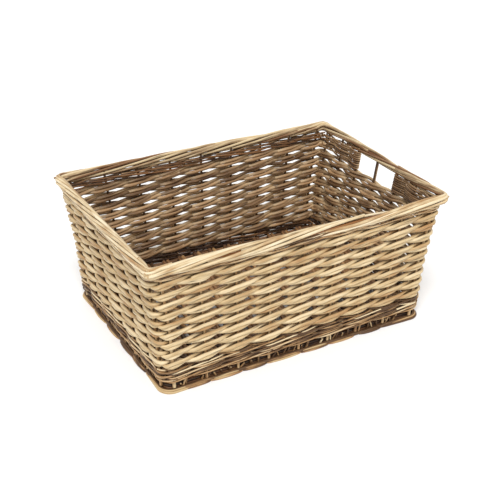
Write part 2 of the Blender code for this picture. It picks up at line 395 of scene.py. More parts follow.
def ring_marks(item):
    """For each point of a rod's rings: how far along the rod it is, and where round it."""
    steps = np.linalg.norm(np.diff(item.points, axis=0), axis=1)
    along = item.start + np.concatenate([[0], np.cumsum(steps)])
    turns = 2 * math.pi * np.arange(RING_SIDES) / RING_SIDES
    marks = np.empty((len(along), RING_SIDES, 3))
    marks[:, :, 0] = along[:, None]
    marks[:, :, 1] = np.cos(turns) * item.radii[:, None]
    marks[:, :, 2] = np.sin(turns) * item.radii[:, None]
    return marks


def facing(mesh_points, item):
    """How far each point of a rod's skin faces out of the basket, from -1 to 1."""
    skin = mesh_points.reshape(len(item.points), RING_SIDES, 3) - item.points[:, None, :]
    lean = (skin * item.outs[:, None, :]).sum(axis=2) / item.radii[:, None]
    return np.clip(item.place[:, None] * SIDE_SHARE + lean, -1, 1)


def mark_rods(mesh, rods):
    """Stores on the mesh where each point lies on its rod, for the willow's grain. The mesh
    has the caps of all the rods first, from the last rod to the first, and then the rods'
    rings in order."""
    count = len(mesh.vertices)
    found = np.empty(count * 3, np.float32)
    mesh.vertices.foreach_get("co", found)
    found = found.reshape(-1, 3)
    places = np.zeros((count, 3), np.float32)
    tones = np.zeros(count, np.float32)
    faced = np.zeros(count, np.float32)
    depths = np.zeros(count, np.float32)
    at = 2 * RING_SIDES * len(rods)
    for index, item in enumerate(rods):
        size = len(item.points) * RING_SIDES
        marks = ring_marks(item)
        outward = facing(found[at : at + size], item)
        places[at : at + size] = marks.reshape(-1, 3)
        faced[at : at + size] = outward.ravel()
        tones[at : at + size] = item.tone
        # The rod's side of the wall, which the willow turns into painted shade on rods that lie
        # behind others.
        depths[at : at + size] = np.repeat(item.place, RING_SIDES)
        cap = 2 * RING_SIDES * (len(rods) - 1 - index)
        for ring, end in ((0, -1), (1, 0)):
            place = slice(cap + ring * RING_SIDES, cap + (ring + 1) * RING_SIDES)
            places[place] = marks[end]
            faced[place] = outward[end]
            tones[place] = item.tone
        at += size
    for name, kind, key, values in (
        ("rod", "FLOAT_VECTOR", "vector", places),
        ("tone", "FLOAT", "value", tones),
        ("facing", "FLOAT", "value", faced),
        ("depth", "FLOAT", "value", depths),
    ):
        layer = mesh.attributes.new(name, kind, "POINT")
        layer.data.foreach_set(key, values.ravel())


def sweep(name, rods):
    """One mesh of all the rods. Each is a round that follows its line, and a bevel depth of
    1 makes the radius of its points its own."""
    path = bpy.data.curves.new(name, "CURVE")
    path.dimensions = "3D"
    path.bevel_depth = 1
    path.bevel_resolution = RING_RESOLUTION
    path.use_fill_caps = True
    for item in rods:
        spline = path.splines.new("POLY")
        spline.points.add(len(item.points) - 1)
        ends = np.column_stack([item.points, np.ones(len(item.points))])
        spline.points.foreach_set("co", ends.ravel().astype(np.float32))
        spline.points.foreach_set("radius", item.radii.astype(np.float32))
    swept = bpy.data.objects.new(name, path)
    mesh = bpy.data.meshes.new_from_object(swept)
    bpy.data.objects.remove(swept)
    bpy.data.curves.remove(path)
    mesh.name = name
    return mesh


def add_rods(name, rods, slot, nodes):
    """Makes the rods one piece, which stands for `nodes` and takes the slot's willow."""
    mesh = sweep(name, rods)
    mark_rods(mesh, rods)
    mesh.materials.clear()
    mesh.materials.append(willow(slot))
    mesh.materials.append(cut_willow())
    slots = np.zeros(len(mesh.polygons), np.int32)
    slots[: CAP_FACES * len(rods)] = 1
    mesh.polygons.foreach_set("material_index", slots)
    bm = bmesh.new()
    bm.from_mesh(mesh)
    bmesh.ops.remove_doubles(bm, verts=bm.verts, dist=MERGE)
    bmesh.ops.recalc_face_normals(bm, faces=bm.faces)
    bm.to_mesh(mesh)
    bm.free()
    mesh.shade_smooth()
    mesh.set_sharp_from_angle(angle=SHARP)
    piece = bpy.data.objects.new(name, mesh)
    bpy.context.scene.collection.objects.link(piece)
    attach(piece, "root")
    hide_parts(*nodes)


# Willow: the material of the rods and of their cut ends.


def colour(name):
    """One of the hamper's colours, with its alpha."""
    return (*getattr(bpy.context.scene.hamper_colours, name), 1.0)


class Wiring:
    """Adds and joins the nodes of one material."""

    def __init__(self, name):
        old = bpy.data.materials.get(name)
        if old:
            bpy.data.materials.remove(old)
        self.material = bpy.data.materials.new(name)
        self.material.use_nodes = True
        self.tree = self.material.node_tree
        self.shader = self.tree.nodes["Principled BSDF"]

    def add(self, kind, inputs=None, **settings):
        node = self.tree.nodes.new(kind)
        for key, value in settings.items():
            setattr(node, key, value)
        for key, value in (inputs or {}).items():
            self.feed(node.inputs[key], value)
        return node

    def feed(self, socket, value):
        """Joins a socket to another one, or sets it to a value."""
        if isinstance(value, bpy.types.NodeSocket):
            self.tree.links.new(value, socket)
        else:
            socket.default_value = value

    def attribute(self, name, output="Fac"):
        return self.add("ShaderNodeAttribute", attribute_name=name).outputs[output]

    def maths(self, operation, *values):
        node = self.add("ShaderNodeMath", operation=operation)
        for socket, value in zip(node.inputs, values):
            self.feed(socket, value)
        return node.outputs[0]

    def sway(self, value, pattern, size):
        """A value that a pattern moves up and down by up to half of size."""
        return self.maths("MULTIPLY_ADD", self.maths("SUBTRACT", pattern, 0.5), size, value)

    def stretched(self, vector, scale):
        node = self.add("ShaderNodeVectorMath", {0: vector, 1: scale}, operation="MULTIPLY")
        return node.outputs[0]

    def noise(self, vector, scale, detail=2.0):
        inputs = {"Vector": self.stretched(vector, scale), "Scale": 1.0, "Detail": detail}
        return self.add("ShaderNodeTexNoise", inputs).outputs["Fac"]

    def mix(self, share, first, second, blend="MIX"):
        node = self.add("ShaderNodeMix", data_type="RGBA", blend_type=blend, clamp_factor=True)
        self.feed(node.inputs[0], share)
        self.feed(node.inputs[6], first)
        self.feed(node.inputs[7], second)
        return node.outputs[2]

    def spread(self, value, low, high):
        """Stretches a value from low to high over 0 to 1."""
        inputs = {"Value": value, "From Min": low, "From Max": high}
        return self.add("ShaderNodeMapRange", inputs, clamp=True).outputs[0]

    def bump(self, strength, distance, height):
        inputs = {"Strength": strength, "Distance": distance, "Height": height}
        node = self.add("ShaderNodeBump", inputs)
        self.feed(self.shader.inputs["Normal"], node.outputs[0])


def willow(slot):
    """Peeled and weathered willow. The grain follows the rod, the tone is the rod's own,
    the side that faces into the basket is browner, partly weathering and partly painted
    shade, and rods that lie behind others are darkened with painted shade."""
    finish = FINISHES[slot]
    if finish.name in bpy.data.materials:
        return bpy.data.materials[finish.name]
    wires = Wiring(finish.name)
    place = wires.attribute("rod", "Vector")
    streak = wires.noise(place, STREAKS, 3.0)
    level = wires.attribute("tone")
    level = wires.sway(level, wires.noise(place, PATCHES), 1.2)
    level = wires.sway(level, streak, 1.3)
    level = wires.sway(level, wires.noise(place, DRIFT, 1.0), 0.8)
    outer = wires.mix(wires.spread(level, 0.05, 0.5), colour(finish.dark), colour(finish.mid))
    outer = wires.mix(wires.spread(level, 0.45, 0.95), outer, colour(finish.pale))
    inner = wires.mix(
        wires.spread(level, 0.15, 0.9), colour(finish.inner_dark), colour(finish.inner_pale)
    )
    # Faces turned into the basket take the inner colours: partly weathering, partly painted
    # shade.
    shown = wires.mix(wires.spread(wires.attribute("facing"), -0.45, 0.35), inner, outer)
    # Painted shade: the deeper a rod lies inside the wall, behind others, the more its colour is
    # multiplied by a brown shade tint.
    depth = wires.spread(wires.attribute("depth"), -0.3, -0.95)
    sunk = wires.maths("MULTIPLY", depth, 0.8)
    shown = wires.mix(sunk, shown, colour("painted_shade"), "MULTIPLY")
    knots = wires.add(
        "ShaderNodeTexVoronoi",
        {"Vector": wires.stretched(place, KNOTS), "Scale": 1.0},
        feature="F1",
    ).outputs["Distance"]
    knot = wires.spread(knots, 0.2, 0.06)
    shown = wires.mix(wires.maths("MULTIPLY", knot, 0.7), shown, colour("umber"))
    wires.feed(wires.shader.inputs["Base Color"], shown)
    wires.feed(wires.shader.inputs["Roughness"], wires.sway(finish.rough, streak, 0.3))
    height = wires.maths("MULTIPLY_ADD", wires.noise(place, GRAIN), 0.35, streak)
    height = wires.maths("MULTIPLY_ADD", knot, 0.8, height)
    wires.bump(0.45, 0.0006, height)
    wires.shader.inputs["Specular IOR Level"].default_value = 0.4
    return wires.material


def cut_willow():
    """Fresh end grain where a rod is cut off, in two pale shades."""
    if "cut_willow" in bpy.data.materials:
        return bpy.data.materials["cut_willow"]
    wires = Wiring("cut_willow")
    specks = wires.noise(wires.attribute("rod", "Vector"), END_GRAIN)
    shown = wires.mix(wires.spread(specks, 0.3, 0.7), colour("tan"), colour("pale_straw"))
    wires.feed(wires.shader.inputs["Base Color"], shown)
    wires.feed(wires.shader.inputs["Roughness"], wires.spread(specks, -1.5, 1.2))
    wires.bump(0.3, 0.0004, specks)
    return wires.material


# Lines of the weave.


def steps(first, last, per_bay):
    """Even places from first to last, about per_bay of them in each bay."""
    count = max(2, int(round((last - first) * per_bay)) + 1)
    return np.linspace(first, last, count)


def taper(s, butt, tip):
    """Rods are thicker at the butt than at the tip."""
    share = (s - s[0]) / (s[-1] - s[0])
    return butt + (tip - butt) * share


def end_fade(s, bays):
    """Rises at both ends of a rod to 1, in less than so many bays."""
    return np.minimum(smooth((s - s[0]) / bays + 0.3), smooth((s[-1] - s) / bays + 0.3))


def runs(first, last, rng, low, high, least):
    """Cuts a run into rods of low to high - 1 bays, with none shorter than `least` left."""
    while first < last:
        stop = first + rng.integers(low, high)
        if last - stop < least:
            stop = last
        yield first, stop
        first = stop


def even_runs(first, last, rng, low, high):
    """Cuts a run into rods that each cover an even number of bays, from low to high, so
    that they end on the side of the stakes on which they start."""
    cuts = [first]
    while last - cuts[-1] > high:
        cuts.append(cuts[-1] + 2 * int(rng.integers(low // 2, high // 2 + 1)))
    if last - cuts[-1] < low and len(cuts) > 1:
        cuts.pop()
    cuts.append(last)
    return list(zip(cuts, cuts[1:]))


def row_levels():
    """Bottom and top of the siding."""
    boxes = [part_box(f"{side}_siding") for side in ("front", "back", "left")]
    return min(low.z for low, high in boxes), max(high.z for low, high in boxes)


def row_level(row):
    """Height of a row's middle."""
    low, high = row_levels()
    return low + (high - low) * (row + 0.5) / ROWS


def row_lift(s, row):
    """Shared rise and fall of the rows, with a little of each row's own. Both fade out at
    the bottom and the top of the siding."""
    shared = waves(s, np.random.default_rng(SEEDS["rows"]), *WAVES["rows"])
    own = waves(s, np.random.default_rng(SEEDS["one row"] + row), *WAVES["one row"])
    fade = math.sin(math.pi * (row + 0.5) / ROWS) ** 0.6
    return (shared + own) * fade


def strand_line(s, phase, level, sizes, lift):
    """Middle of a strand that passes outside one stake and inside the next. It climbs past
    each stake on the outside and falls past each on the inside, and its two rods turn over
    each other where strands cross."""
    swing, climb = np.cos(math.pi * (s + phase)), np.sin(math.pi * (s + phase))
    swing = np.tanh(STROKE_SQUARENESS * swing) / math.tanh(STROKE_SQUARENESS)
    z = level + sizes.crossing_rise * climb * np.abs(climb) ** STROKE_BEND + lift
    return s, sizes.strand_reach * swing, z, sizes.crossing_turn * climb**2


def pair_rods(line, sizes, tones, rng):
    """The two rods of a strand. `line` holds the places, distances, heights and turn of the
    strand's middle. Their ends are thinner, and shift up or down."""
    s, off, z, turn = line
    rods = []
    half = sizes.strand_rod / 2
    for side, tone in zip((1, -1), tones):
        wobble = waves(s, rng, *WAVES["siding"])
        swell = 1 + waves(s, rng, *WAVES["siding swell"])
        radii = half * taper(s, *TAPERS["siding"]) * swell * (0.55 + 0.45 * end_fade(s, 0.45))
        z_rod = z + side * half * np.cos(turn) + wobble
        z_rod += END_RISES[0] * half * (1 - smooth((s - s[0]) / 0.6))
        z_rod += END_RISES[1] * half * (1 - smooth((s[-1] - s) / 0.6))
        off_rod = off + side * half * np.sin(turn)
        rods.append(rod(s, off_rod, z_rod, radii, SIDING_SIDE, tone, rng))
    return rods


def turn_back(number, end, reach):
    """Places and distances of a half turn round a stake, from outside it to inside."""
    bay = bay_length(number if end > 0 else number - 1)
    turn = np.linspace(0, math.pi, TURN_STEPS)
    return number + end * np.sin(turn) * reach / bay, np.cos(turn) * reach


def siding_row(row, sizes):
    """A row of the siding: two strands of two rods, twined round the stakes. The top row
    stops beside the handle hole."""
    rng = np.random.default_rng(SEEDS["siding"] + row)
    level = row_level(row)
    rods = []
    over_hole = row == ROWS - 1
    for phase in (0, 1):
        if over_hole:
            first, last = BUNDLE_ENDS[1], BUNDLE_ENDS[0] + COUNT
        else:
            first = (row * 5 + phase * 3) % COUNT
            first += (first + phase + 1) % 2
            last = first + COUNT
        for start, stop in even_runs(first, last, rng, *ROD_BAYS):
            low = start - (0.0 if over_hole and start == first else ROD_OVERLAP)
            high = stop + (0.0 if over_hole and stop == last else ROD_OVERLAP)
            s = steps(low, high, STRAND_STEPS)
            line = strand_line(s, phase, level, sizes, row_lift(s, row))
            tones = rng.normal(*TONES["siding"], 2)
            rods += pair_rods(line, sizes, tones, rng)
    if over_hole:
        rods += hole_turns(level, sizes, rng)
    return rods


def hole_turns(level, sizes, rng):
    """Half turns that join the two strands of the top row beside the handle hole."""
    rods = []
    for number, end in ((BUNDLE_ENDS[0], 1), (BUNDLE_ENDS[1], -1)):
        s, off = turn_back(number, end, sizes.strand_reach)
        lift = row_lift(np.full_like(s, float(number)), ROWS - 1)
        half = sizes.strand_rod / 2
        for side in (1, -1):
            radii = np.full_like(s, half * 0.98)
            z = level + lift + side * half
            tone = rng.normal(*TONES["hole turns"])
            rods.append(rod(s, off, z, radii, SIDING_SIDE, tone, rng))
    return rods


def wale_line(s, phase, level, reach, thickness):
    """Distances and heights of a rod of a wale of three, which passes two stakes on the
    side of `reach` and the next one on the other. Each long stroke rises as it goes."""
    share = (s - phase) / 3 % 1
    way_out = -np.cos(3 * math.pi * np.clip(share, 0, 1 / 3))
    way_in = np.cos(3 * math.pi * np.clip(share - 2 / 3, 0, 1 / 3))
    off = reach * np.where(share < 1 / 3, way_out, np.where(share < 2 / 3, 1.0, way_in))
    return off, level - WALE_CLIMB * thickness * np.sin(2 * math.pi * share)


def wale_rods(first, last, levels, reach, thickness, rng, tone):
    """Three rods that wale together from place first to last. `levels` gives the height of
    the wale at each place. A negative reach makes the long strokes on the inside."""
    rods = []
    for phase in range(3):
        for start, stop in runs(first + phase * WALE_LAG, last, rng, *WALE_RUN):
            s = steps(start, stop, WALE_STEPS)
            off, z = wale_line(s, phase, levels(s), reach, thickness)
            z += waves(s, rng, *WAVES["wales"]) + rng.normal(0, 0.0004)
            off = off + rng.uniform(0, 0.0008) * np.sign(off)
            radii = thickness / 2 * taper(s, *TAPERS["wales"])
            own_tone = rng.normal(tone, WALE_SPREAD)
            rods.append(rod(s, off, z, radii, abs(reach), own_tone, rng))
    return rods


def lane_rods(lane, thick, rng):
    """Rods that run on round the basket in one lane at its foot."""
    start, away, height, tone = lane
    rods = []
    for first, stop in runs(float(start), start + COUNT, rng, *LANE_RUN):
        s = steps(first - 0.1, stop + 0.1, STRAND_STEPS)
        off = away * thick + waves(s, rng, *WAVES["lanes"])
        radii = thick / 2 * (0.6 + 0.4 * end_fade(s, 0.4)) * taper(s, *TAPERS["lanes"])
        z = radii + CLEAR + height * thick
        own_tone = rng.normal(tone, LANE_SPREAD)
        rods.append(rod(s, off, z, radii, ROD_SIDE, own_tone, rng, level=FOOT))
    return rods


# Settings that a user would change.


def length(name, description, default):
    return bpy.props.FloatProperty(
        name=name, description=description, default=default, min=0, unit="LENGTH", precision=4
    )


def angle(name, description, degrees):
    return bpy.props.FloatProperty(
        name=name, description=description, default=math.radians(degrees), subtype="ANGLE"
    )


def tint(name, description, default):
    return bpy.props.FloatVectorProperty(
        name=name, description=description, default=default, min=0, max=1, subtype="COLOR"
    )


class HamperSizes(bpy.types.PropertyGroup):
    strand_rod: length("Weaving rod", "Thickness of a rod of the siding", 0.0055)
    strand_reach: length("Strand reach", "Distance of a strand from the stakes' line", 0.0042)
    row_pitch: length("Row pitch", "Height that a row of the siding takes", 0.01644)
    crossing_rise: length("Crossing rise", "How far a strand climbs to a crossing", 0.0023)
    crossing_turn: angle(
        "Crossing turn", "How far a strand's two rods turn over where strands cross", 50
    )
    wale_rod: length("Wale rod", "Thickness of a rod of the upsett", 0.0027)
    wale_reach: length("Wale reach", "Distance of a wale's rod from the stakes' line", 0.0042)
    border_rod: length("Border rod", "Thickness of a rod of the border", 0.0044)
    border_width: length("Border width", "Width of the border across its rods", 0.0152)
    border_depth: length("Border depth", "Depth of the border over its rods", 0.0195)
    stake_rod: length("Stake", "Thickness of a stake at its foot", 0.0044)
    foot_rod: length("Foot rod", "Thickness of a rod of the foot", 0.0059)
    bar_rod: length("Base bar", "Thickness of a rod woven across the base", 0.0067)
    stick: length("Base stick", "Thickness of a stick along the base", 0.0060)
    bundle_rod: length("Bundle rod", "Thickness of a rod beside the handle hole", 0.0030)


class HamperColours(bpy.types.PropertyGroup):
    white_willow: tint("White willow", "Brightest rods of the border", (0.86, 0.73, 0.51))
    cream: tint("Cream", "Palest rods of the siding", (0.76, 0.61, 0.38))
    pale_straw: tint("Pale straw", "Rods of the border", (0.68, 0.53, 0.31))
    straw: tint("Straw", "Most rods of the siding", (0.57, 0.42, 0.22))
    tan: tint("Tan", "Warm brown rods", (0.42, 0.24, 0.10))
    # Silver and shade colour the faces that turn into the basket: partly weathering, partly
    # painted shade.
    silver: tint("Silver", "Weathered inner faces of the rods", (0.56, 0.40, 0.23))
    hazel: tint("Hazel", "Lit brown rods", (0.33, 0.20, 0.10))
    bark: tint("Bark", "Brown patches with bark left on", (0.20, 0.095, 0.04))
    shade: tint("Shade", "Inner faces of the rods", (0.10, 0.05, 0.02))
    umber: tint("Umber", "Darkest bark and knots", (0.05, 0.026, 0.012))
    # Painted shade: the tint that darkens the rods that lie behind others.
    painted_shade: tint("Painted shade", "Tint of the rods that lie behind others", (0.58, 0.38, 0.22))


class StudioSettings(bpy.types.PropertyGroup):
    azimuth: angle("Azimuth", "Direction of the camera round the basket", -29.72)
    elevation: angle("Elevation", "Height of the camera above the horizon", 28.17)
    roll: angle("Roll", "Tilt of the camera", 0.83)
    distance: length("Distance", "Distance of the camera from its target", 1.576)
    target: length("Target height", "Height of the point that the camera faces", 0.1)
    aside: length("Aside", "Shift of the camera to its right", 0.0026)
    below: length("Below", "Shift of the camera downwards", 0.0006)
    lens: bpy.props.FloatProperty(
        name="Focal length", description="Camera lens in millimetres", default=72.84, min=1
    )
    floor: length("Floor", "Side of the floor", 12.0)
    floor_white: tint("Floor colour", "Colour of the floor", (0.985, 0.985, 0.985))
    sky: bpy.props.FloatProperty(
        name="Sky", description="Strength of the soft light from all round", default=0.58, min=0
    )
    key: bpy.props.FloatProperty(
        name="Key", description="Strength of the soft lamp over the basket", default=2.4, min=0
    )


# Pieces: an operator for each, or for a group of like ones, and what it needs.


class HAMPER_OT_stakes(bpy.types.Operator):
    """Make the stakes of the four walls and their corners"""

    bl_idname = "hamper.stakes"
    bl_label = "Stakes"

    def execute(self, context):
        sizes = context.scene.hamper_sizes
        rng = np.random.default_rng(SEEDS["stakes"])
        first = 0
        for side in SIDES:
            nodes = stake_nodes(side)
            rods = [stake(number, sizes, rng) for number in range(first, first + len(nodes))]
            add_rods(f"stakes_{side}", rods, "stakes", nodes)
            first += len(nodes)
        return {"FINISHED"}


def stake(number, sizes, rng):
    """A stake, stout at a corner. The one in the handle hole gets no thinner."""
    z = np.linspace(FOOT, TOP + STAKE_TAIL, STAKE_STEPS)
    s = np.full_like(z, float(number))
    off = waves(z * STAKE_WAVES, rng, *WAVES["stakes"])
    corner = number in CORNERS or (number - 1) % COUNT in CORNERS
    middle = number == sum(HOLE) // 2
    ends = (CORNER_STAKE if corner else 1, HOLE_STAKE if middle else STAKE_TIP)
    radii = sizes.stake_rod / 2 * np.linspace(*ends, len(z))
    tone = rng.normal(*TONES["corner stakes" if corner else "stakes"])
    return rod(s, off, z, radii, ROD_SIDE, tone, rng)


class HAMPER_OT_siding(bpy.types.Operator):
    """Weave the nine rows of the siding, one piece for each row"""

    bl_idname = "hamper.siding"
    bl_label = "Siding"

    def execute(self, context):
        sizes = context.scene.hamper_sizes
        walls = [f"{side}_siding" for side in SIDES]
        top = ["front_siding", "back_siding", "left_siding"]
        top += ["hole_front_siding", "hole_back_siding"]
        for row in range(ROWS):
            nodes = top if row == ROWS - 1 else walls
            add_rods(f"siding_row_{row + 1}", siding_row(row, sizes), "siding", nodes)
        return {"FINISHED"}


class HAMPER_OT_upsett(bpy.types.Operator):
    """Wale the thin rods of the upsett below the siding"""

    bl_idname = "hamper.upsett"
    bl_label = "Upsett"

    def execute(self, context):
        sizes = context.scene.hamper_sizes
        rng = np.random.default_rng(SEEDS["upsett"])
        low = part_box("front_upsett")[1].z - UPSETT_RISE * (UPSETT_ROUNDS - 0.55)
        last = UPSETT_START + COUNT * UPSETT_ROUNDS
        level_bays = COUNT - UPSETT_STEP

        def levels(s):
            rounds = (s - UPSETT_START) / COUNT
            part = rounds - np.floor(rounds)
            step = smooth(part * COUNT / UPSETT_STEP - level_bays / UPSETT_STEP)
            return low + UPSETT_RISE * np.minimum(np.floor(rounds) + step, UPSETT_ROUNDS - 1)

        rods = []
        for side, lift, tone in UPSETT_WALES:
            rods += wale_rods(
                UPSETT_START,
                last,
                lambda s: levels(s) + lift,
                side * sizes.wale_reach,
                sizes.wale_rod,
                rng,
                tone,
            )
        rods += bar_ends(sizes, rng)
        add_rods("upsett", rods, "upsett", [f"{side}_upsett" for side in SIDES])
        return {"FINISHED"}


def bar_ends(sizes, rng):
    """Cut ends of the base's bars, which show between the foot and the upsett."""
    rods = []
    for number in range(COUNT):
        if number in CORNERS:
            continue
        for share in np.sort(rng.uniform(*END_PLACES, ENDS_IN_BAY)):
            lean = rng.normal(0, 0.03)
            s = number + share + np.linspace(-lean, lean, END_STEPS)
            z = np.linspace(END_BOTTOM, rng.uniform(*END_TOPS), END_STEPS)
            off = np.linspace(-END_TIPS[0], rng.uniform(*END_TIPS), END_STEPS)
            radii = np.full(END_STEPS, sizes.wale_rod / 2 * rng.uniform(*END_SIZES))
            tone = rng.normal(*TONES["bar ends"])
            rods.append(rod(s, off, z, radii, NO_SIDE, tone, rng, level=FOOT))
    return rods


class HAMPER_OT_top_wale(bpy.types.Operator):
    """Wale the rods between the siding and the border"""

    bl_idname = "hamper.top_wale"
    bl_label = "Top wale"

    def execute(self, context):
        sizes = context.scene.hamper_sizes
        rng = np.random.default_rng(SEEDS["top wale"])
        low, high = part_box("front_top_wale")
        middle = (low.z + high.z) / 2 + TOP_WALE_LIFT
        rods = []
        for step, side in TOP_WALES:
            level = middle + step * TOP_WALE_PITCH
            rods += wale_rods(
                BUNDLE_ENDS[1] - 0.1,
                BUNDLE_ENDS[0] + COUNT + 0.1,
                lambda s: np.full_like(s, level),
                side * sizes.wale_reach,
                sizes.wale_rod,
                rng,
                TOP_WALE_TONE,
            )
        nodes = ["front_top_wale", "back_top_wale", "left_top_wale"]
        nodes += ["hole_front_siding", "hole_back_siding"]
        add_rods("top_wale", rods, "upsett", nodes)
        return {"FINISHED"}


class HAMPER_OT_hole_bundles(bpy.types.Operator):
    """Turn thin rods round the stakes on both sides of the handle hole"""

    bl_idname = "hamper.hole_bundles"
    bl_label = "Bundles beside the handle hole"

    def execute(self, context):
        sizes = context.scene.hamper_sizes
        low = row_levels()[1] - sizes.row_pitch
        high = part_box("front_top_wale")[1].z + BUNDLE_TAIL
        count = int((high - low) / (sizes.bundle_rod * BUNDLE_PITCH))
        for name, number, end in (("front", HOLE[0], 1), ("back", HOLE[1], -1)):
            rng = np.random.default_rng(SEEDS["bundles"] + number)
            rods = []
            for index in range(count):
                share = (index + 0.5) / count
                rods.append(bundle_rod(number, end, low, high, share, sizes, rng))
            add_rods(f"hole_bundle_{name}", rods, "upsett", [f"hole_{name}_siding"])
        return {"FINISHED"}


def bundle_rod(number, end, low, high, share, sizes, rng):
    """A rod that comes in along the wall, turns round the hole's stake and goes back. Rods
    at the bottom and top of a bundle draw closer to its middle away from the stake."""
    thick = sizes.bundle_rod
    reach = sizes.stake_rod / 2 + thick / 2 + CLEAR
    s, off = turn_back(number, end, reach)
    back = np.linspace(rng.uniform(*BUNDLE_BAYS), 0.08, BUNDLE_STEPS)
    lead_off = reach * np.cos(math.pi * back) + rng.uniform(0, 0.0008)
    s = np.concatenate([number - end * back, s, (number - end * back)[::-1]])
    off = np.concatenate([lead_off, off, -lead_off[::-1]])
    spread = smooth(np.abs(s - number) / BUNDLE_DRAW_BAYS)
    z = low + (high - low) * share + (0.5 - share) * BUNDLE_DRAW * spread
    z = z + waves(s, rng, *WAVES["bundles"]) + spread * rng.normal(0, 0.001)
    radii = thick / 2 * taper(np.arange(len(s)), *TAPERS["bundles"])
    return rod(s, off, z, radii, ROD_SIDE, rng.normal(*TONES["bundles"]), rng)


class HAMPER_OT_border(bpy.types.Operator):
    """Lay the rods of the border round a core along the rim"""

    bl_idname = "hamper.border"
    bl_label = "Border"

    def execute(self, context):
        sizes = context.scene.hamper_sizes
        rng = np.random.default_rng(SEEDS["border"])
        rods = []
        for lane in range(BORDER_LANES):
            at = lane * LANE_SHIFT % COUNT
            for first, stop in runs(at, at + COUNT, rng, *BORDER_RUN):
                rods.append(border_rod(lane, first, stop, sizes, rng))
        for first in range(0, COUNT, CORE_BAYS):
            s = steps(first, first + CORE_BAYS + 0.1, BORDER_STEPS)
            off, z = border_line(s, np.zeros_like(s), 0.0, sizes)
            radii = np.full_like(s, CORE_RADIUS)
            core = rod(s, off, z, radii, NO_SIDE, CORE_TONE, rng, level=TOP)
            # The core lies behind the border's rods: a place of -1 gives it the full painted
            # shade of rods that lie behind others.
            rods.append(core._replace(place=np.full_like(s, -1)))
        rods += stray_ends(sizes, rng)
        add_rods("border", rods, "border", [f"{side}_border" for side in SIDES])
        return {"FINISHED"}


def border_rod(lane, first, stop, sizes, rng):
    """A rod of the border. Its butt comes up from the core into the rod's lane."""
    s = steps(first - BUTT_BAYS, stop + TIP_BAYS, BORDER_STEPS)
    roll = 2 * math.pi * BORDER_TURNS / BORDER_LANES / COUNT
    turn = 2 * math.pi * lane / BORDER_LANES + roll * s + rng.normal(0, 0.10)
    turn += waves(s, rng, *WAVES["border turn"])
    sunk = (0.30 + 0.70 * smooth((s - s[0]) / 1.1)) * (1 - 0.14 * rng.random())
    radii = sizes.border_rod / 2 * (1 + rng.normal(0, 0.09)) * taper(s, *TAPERS["border"])
    off, z = border_line(s, turn, sunk, sizes)
    z = np.minimum(z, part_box("front_border")[1].z - radii - CLEAR)
    laid = rod(s, off, z, radii, ROD_SIDE, rng.normal(*TONES["border"]), rng, level=TOP)
    # The rod's place sets its colours: on the inner, lower side of the core it is darkened with
    # painted shade, and on the outer, upper side it counts as facing out more.
    place = np.clip(0.55 + 0.8 * np.cos(turn) + 0.4 * np.sin(turn), -1, 1)
    return laid._replace(place=place)


def border_line(s, turn, sunk, sizes):
    """Distances and heights of a rod that lies in the border at an angle round its core. The
    border is deeper on some walls than on others, and its corners are sharper than the wall's."""
    low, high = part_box("front_border")
    line = wall(np.array([float(WALL_MIDDLES[0])]), np.array([TOP]))[0][0]
    depth = np.interp(s % COUNT, WALL_MIDDLES, BORDER_DEPTHS, period=COUNT)
    sag = np.interp(s % COUNT, WALL_MIDDLES, BORDER_SAGS, period=COUNT)
    inset = sizes.border_rod / 2 * 1.12
    half_width = sizes.border_width / 2
    half_depth = sizes.border_depth / 2 * depth
    away = -low.y - half_width + line[1] - 0.0006
    off = away + np.cos(turn) * (half_width - inset) * sunk
    off = off + CORNER_BULGE * corner_share(s)
    z = high.z - 0.0002 - sag - half_depth + np.sin(turn) * (half_depth - inset) * sunk
    return off, z


def corner_share(s):
    """From 0 at the two stakes of a corner to 1 half way between them."""
    before = np.floor(s).astype(int) % COUNT
    return np.where(np.isin(before, CORNERS), np.sin(math.pi * (s - np.floor(s))) ** 3, 0)


def stray_ends(sizes, rng):
    """Butts of the border's rods that stick out straight at the corners."""
    low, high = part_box("front_border")
    limits = np.abs([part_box("right_border")[1].x, low.y])
    count = STRAY_STEPS
    rods = []
    for corner in CORNERS:
        for number, way in ((corner, 1), ((corner + 1) % COUNT, -1)):
            for _ in range(STRAY_BUTTS):
                at = np.array([number - way * rng.uniform(*STRAY_PLACES)])
                height = rng.uniform(low.z + STRAY_MARGIN, high.z - STRAY_MARGIN)
                line, out = wall(at, np.full(1, TOP))
                along = way * ALONG[number]
                start = line[0] + out[0] * rng.uniform(*STRAY_OFFS)
                start[2] = height
                radius = sizes.border_rod / 2 * rng.uniform(*STRAY_SIZES)
                room = np.abs(along[:2]) @ limits - start @ along - radius - 4 * CLEAR
                reach = np.linspace(0, room * rng.uniform(*STRAY_REACH), count)
                points = start + reach[:, None] * along
                points[:, 2] += np.linspace(0, rng.uniform(*STRAY_DROOP), count)
                outs = np.tile(out[0], (count, 1))
                tone = rng.normal(*TONES["stray ends"])
                rods.append(Rod(points, np.full(count, radius), outs, np.ones(count), tone, 0.0))
    return rods


class HAMPER_OT_foot(bpy.types.Operator):
    """Lay the rods of the foot under the stakes"""

    bl_idname = "hamper.foot"
    bl_label = "Foot"

    def execute(self, context):
        sizes = context.scene.hamper_sizes
        rng = np.random.default_rng(SEEDS["foot"])
        rods = lane_rods(FOOT_LANE, sizes.foot_rod, rng)
        around = [(corner - 1, corner + 2) for corner in CORNERS]
        near = [corner + step for corner in CORNERS for step in (-1, 0, 1)]
        around += [(number, number + 1) for number in range(COUNT) if number not in near]
        for first, last in around:
            rods += foot_strokes(first, last, sizes.foot_rod, rng)
        add_rods("foot", rods, "foot", [f"{side}_foot" for side in SIDES])
        return {"FINISHED"}


